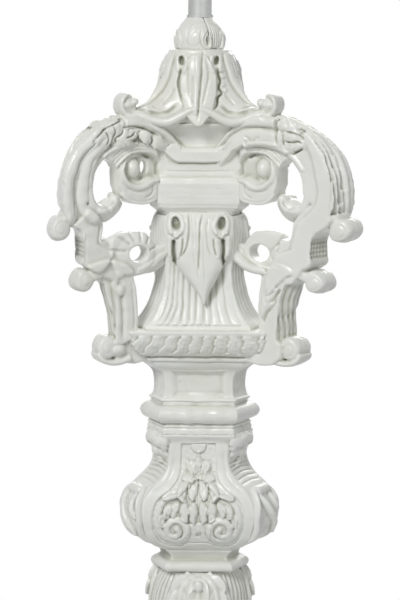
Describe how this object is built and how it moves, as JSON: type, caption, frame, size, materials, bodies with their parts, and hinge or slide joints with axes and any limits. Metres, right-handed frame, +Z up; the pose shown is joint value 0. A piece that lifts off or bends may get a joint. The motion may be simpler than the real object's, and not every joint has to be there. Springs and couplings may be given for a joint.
{
  "type": "candlestick floor lamp",
  "caption": "Floor lamp on a three-sided carved candlestick with scrolled arms, a leaf capital, scroll feet, a steel lamp tube and a tapered cloth shade.",
  "frame": {"origin": "on the floor under the lamp's axis, at the centre of the box", "axes": "+Z up along the axis; the front wide side of the carving faces -Y; the right and left arms and feet point to -30 and 210 degrees from +X, the back ones to +Y"},
  "size_m": [0.4299, 0.43, 1.6835],
  "materials": {
    "paint": "carved wood under off-white satin paint",
    "satin_steel": "satin",
    "shade_wire": "white enamel",
    "iron": "rough",
    "brass": "satin",
    "black_plastic": "moulded",
    "porcelain": "glazed",
    "opal_glass": "opal",
    "shade_cloth": "plain linen weave"
  },
  "bodies": {
    "lamp": {"base_body": "paint", "base_cover": "black_plastic", "cover_screws": "satin_steel", "ballast": "iron", "glides": "black_plastic", "foot_right": "paint", "foot_left": "paint", "foot_back": "paint", "foot_screws": "satin_steel", "cord_gland": "black_plastic", "gland_nut": "black_plastic", "terminal_block": "porcelain", "inner_lead": "black_plastic", "threaded_rod": "satin_steel", "rod_nut": "satin_steel", "rod_washer": "satin_steel", "lock_nut": "satin_steel", "base_ring": "paint", "baluster": "paint", "knop_ring": "paint", "leaf_bulb": "paint", "lower_ring": "paint", "vase": "paint", "vase_panels": "paint", "corner_leaves": "paint", "collar": "paint", "waist_block": "paint", "cornice": "paint", "bell_core": "paint", "hanging_leaves": "paint", "abacus": "paint", "crown_block": "paint", "arm_right": "paint", "arm_left": "paint", "arm_back": "paint", "volute_right": "paint", "volute_left": "paint", "volute_back": "paint", "leaf_capital": "paint", "calyx": "paint", "tube_flange": "satin_steel", "stem_tube": "satin_steel", "tube_cap": "satin_steel", "holder_cap": "brass", "holder_shell": "brass", "holder_core": "porcelain", "centre_contact": "brass", "side_contacts": "brass", "shade_rings": "black_plastic", "bulb_cap": "satin_steel", "bulb_contact": "brass", "bulb_glass": "opal_glass", "shade_carrier": "shade_wire", "shade_top_ring": "shade_wire", "shade_bottom_ring": "shade_wire", "shade_skin": "shade_cloth"},
    "key": {"switch_key": "black_plastic"}
  },
  "joints": [
    {"name": "key_turn", "type": "hinge", "parent": "lamp", "child": "key", "pos_m": [0.03, 0, 1.4265], "axis": [1, 0, 0], "continuous": true}
  ]
}
